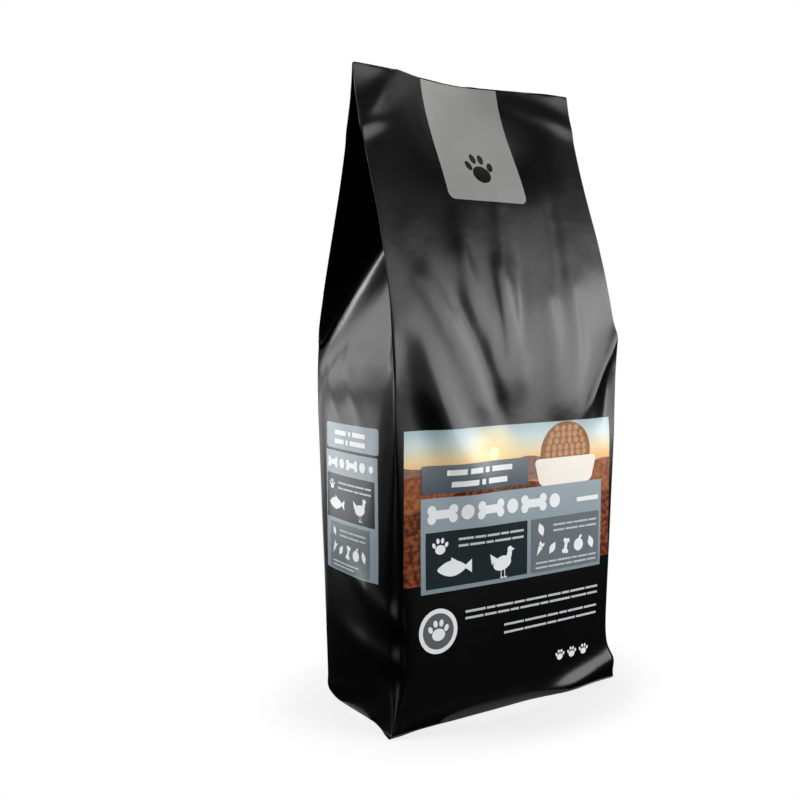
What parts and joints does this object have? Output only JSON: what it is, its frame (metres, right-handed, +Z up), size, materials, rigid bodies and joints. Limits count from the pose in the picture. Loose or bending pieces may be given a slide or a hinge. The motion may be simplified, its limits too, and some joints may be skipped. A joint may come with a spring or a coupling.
{
  "type": "pet food bag",
  "caption": "Tall side-gusset film bag of dry pet food, filled and sealed, with gable-folded gussets above the fill, a flat top seal and a folded flat base.",
  "frame": {"origin": "on the floor under the middle of the overall size", "axes": "+Z up along the bag's height, -Y towards the printed front, +X to the right as seen from the front"},
  "size_m": [0.3844, 0.21, 0.827],
  "materials": {
    "film": "black satin laminate film with soft highlights"
  },
  "bodies": {
    "root": {"food_bag": "film"}
  },
  "joints": []
}
